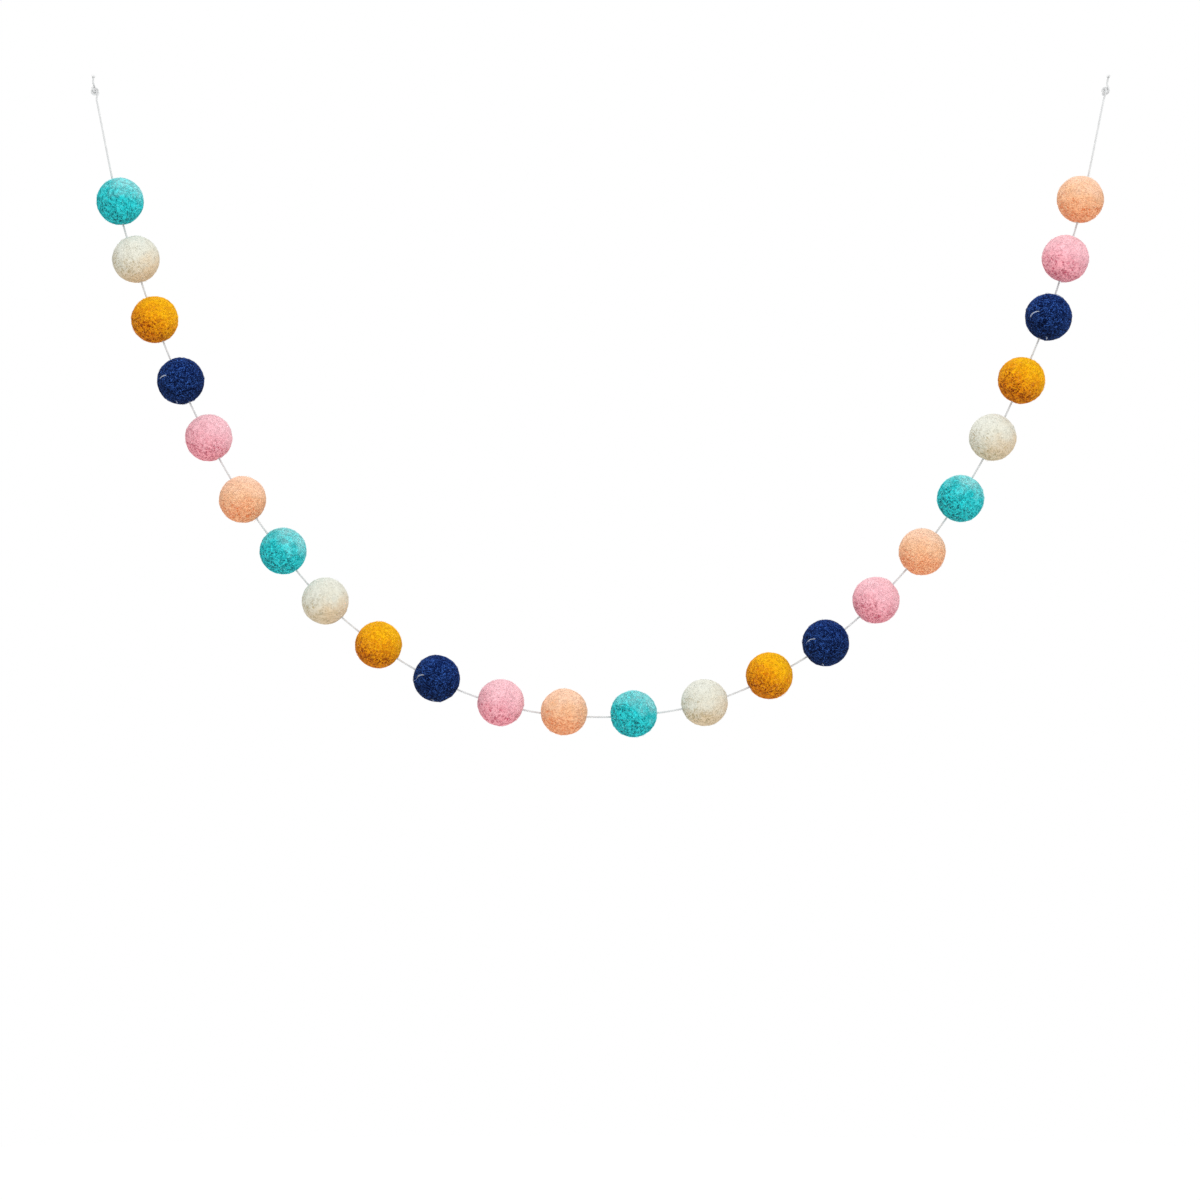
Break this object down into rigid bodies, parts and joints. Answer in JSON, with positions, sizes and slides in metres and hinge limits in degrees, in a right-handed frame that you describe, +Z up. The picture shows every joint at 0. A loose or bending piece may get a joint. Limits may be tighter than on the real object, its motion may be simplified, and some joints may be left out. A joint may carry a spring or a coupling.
{
  "type": "felt ball garland",
  "caption": "Garland of round wool felt balls in repeating colours, threaded on one thin cotton string that hangs in a deep curve between its knotted ends.",
  "frame": {"origin": "the left end of the string, where it stops in the picture, just below its knot", "axes": "+X from the left end to the right end, +Y from the front to the back, +Z up"},
  "size_m": [0.5451, 0.025, 0.3529],
  "materials": {
    "felt_teal": "matt wet-felted wool, turquoise teal with darker fine wrinkles",
    "felt_cream": "matt wet-felted wool, natural cream with faint tan patches",
    "felt_mustard": "matt wet-felted wool, golden mustard with brown pits",
    "felt_navy": "matt wet-felted wool, deep blue with lighter blue fibres and a few white ones",
    "felt_pink": "matt wet-felted wool, soft pink with rose pits",
    "felt_peach": "matt wet-felted wool, light peach with orange pits",
    "cotton_string": "thin twisted cotton string, off-white"
  },
  "bodies": {
    "root": {"ball_01_teal": "felt_teal", "ball_02_cream": "felt_cream", "ball_03_mustard": "felt_mustard", "ball_04_navy": "felt_navy", "ball_05_pink": "felt_pink", "ball_06_peach": "felt_peach", "ball_07_teal": "felt_teal", "ball_08_cream": "felt_cream", "ball_09_mustard": "felt_mustard", "ball_10_navy": "felt_navy", "ball_11_pink": "felt_pink", "ball_12_peach": "felt_peach", "ball_13_teal": "felt_teal", "ball_14_cream": "felt_cream", "ball_15_mustard": "felt_mustard", "ball_16_navy": "felt_navy", "ball_17_pink": "felt_pink", "ball_18_peach": "felt_peach", "ball_19_teal": "felt_teal", "ball_20_cream": "felt_cream", "ball_21_mustard": "felt_mustard", "ball_22_navy": "felt_navy", "ball_23_pink": "felt_pink", "ball_24_peach": "felt_peach", "string": "cotton_string", "knot_left": "cotton_string", "knot_right": "cotton_string"}
  },
  "joints": []
}
